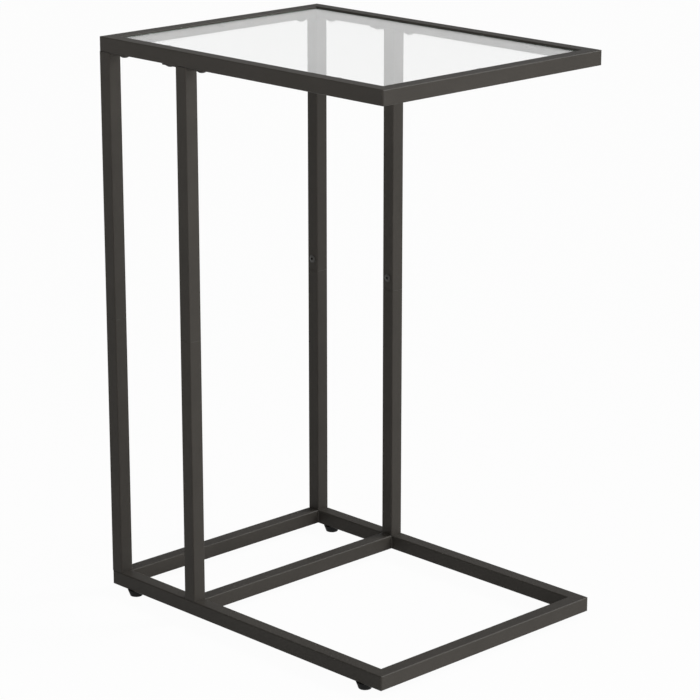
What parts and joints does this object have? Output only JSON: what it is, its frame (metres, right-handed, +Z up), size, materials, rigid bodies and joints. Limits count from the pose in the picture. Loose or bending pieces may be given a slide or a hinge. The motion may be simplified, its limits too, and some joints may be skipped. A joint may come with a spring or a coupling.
{
  "type": "c shaped side table",
  "caption": "C-shaped side table: a clear glass pane let into a square steel tube frame, on legs at one end over a base that slides under a seat.",
  "frame": {"origin": "on the floor, under the middle of the table's box", "axes": "+Z up, +X from the leg end to the open end, +Y to the right as seen from the open end"},
  "size_m": [0.45, 0.339, 0.66],
  "materials": {
    "powder_coat": "satin dark grey powder coat",
    "clear_glass": "clear, ground edges",
    "clear_silicone": "clear soft pads",
    "black_screws": "black coated steel",
    "zinc_steel": "bright zinc plated",
    "black_plastic": "moulded, matt"
  },
  "bodies": {
    "frame": {"top_rail_left": "powder_coat", "base_rail_left": "powder_coat", "top_rail_right": "powder_coat", "base_rail_right": "powder_coat", "top_rail_back": "powder_coat", "base_rail_back": "powder_coat", "top_rail_front": "powder_coat", "base_rail_front": "powder_coat", "base_cross_rail": "powder_coat", "upper_leg_back_left": "powder_coat", "lower_leg_back_left": "powder_coat", "leg_flange_back_left": "powder_coat", "leg_spigot_back_left": "zinc_steel", "leg_end_nut_back_left": "zinc_steel", "upper_leg_back_right": "powder_coat", "lower_leg_back_right": "powder_coat", "leg_flange_back_right": "powder_coat", "leg_spigot_back_right": "zinc_steel", "leg_end_nut_back_right": "zinc_steel", "upper_leg_inner_left": "powder_coat", "lower_leg_inner_left": "powder_coat", "leg_flange_inner_left": "powder_coat", "leg_spigot_inner_left": "zinc_steel", "leg_end_nut_inner_left": "zinc_steel", "upper_leg_inner_right": "powder_coat", "lower_leg_inner_right": "powder_coat", "leg_flange_inner_right": "powder_coat", "leg_spigot_inner_right": "zinc_steel", "leg_end_nut_inner_right": "zinc_steel", "joint_screws": "black_screws", "base_bolts": "black_screws", "flange_screws": "black_screws", "top_rail_rivet_nuts": "zinc_steel", "foot_rivet_nuts": "zinc_steel", "glass_tabs": "powder_coat", "glass_pads": "clear_silicone"},
    "glass": {"glass_pane": "clear_glass"},
    "levelling_foot_back_left": {"foot_glide_back_left": "black_plastic", "foot_stud_back_left": "zinc_steel"},
    "levelling_foot_back_right": {"foot_glide_back_right": "black_plastic", "foot_stud_back_right": "zinc_steel"},
    "levelling_foot_front_left": {"foot_glide_front_left": "black_plastic", "foot_stud_front_left": "zinc_steel"},
    "levelling_foot_front_right": {"foot_glide_front_right": "black_plastic", "foot_stud_front_right": "zinc_steel"}
  },
  "joints": [
    {"name": "glass_lift", "type": "slide", "parent": "frame", "child": "glass", "axis": [0, 0, 1], "range_m": [0, 0.05]},
    {"name": "foot_level_back_left", "type": "slide", "parent": "frame", "child": "levelling_foot_back_left", "axis": [0, 0, -1], "range_m": [0, 0.006]},
    {"name": "foot_level_back_right", "type": "slide", "parent": "frame", "child": "levelling_foot_back_right", "axis": [0, 0, -1], "range_m": [0, 0.006]},
    {"name": "foot_level_front_left", "type": "slide", "parent": "frame", "child": "levelling_foot_front_left", "axis": [0, 0, -1], "range_m": [0, 0.006]},
    {"name": "foot_level_front_right", "type": "slide", "parent": "frame", "child": "levelling_foot_front_right", "axis": [0, 0, -1], "range_m": [0, 0.006]}
  ]
}
